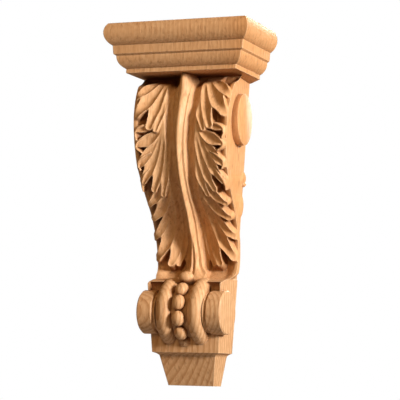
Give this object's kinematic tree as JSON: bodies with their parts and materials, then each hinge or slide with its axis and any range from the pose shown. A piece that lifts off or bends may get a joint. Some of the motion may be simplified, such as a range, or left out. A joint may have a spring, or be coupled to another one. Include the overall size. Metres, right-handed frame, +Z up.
{
  "type": "carved bracket capital",
  "caption": "Carved wooden bracket capital with a moulded cap, an S-curved acanthus leaf front, a beaded scroll and a tapered foot, fixed by its flat back under a shelf or cornice.",
  "frame": {"origin": "middle of the flat back, halfway up, where the part is fixed", "axes": "+Z up from the foot to the cap, +Y into the wall, so the leaf faces -Y, +X to the right seen from the front"},
  "size_m": [0.1072, 0.0601, 0.25],
  "materials": {
    "wood": "bare, fine sanded"
  },
  "bodies": {
    "root": {"capital": "wood"}
  },
  "joints": []
}
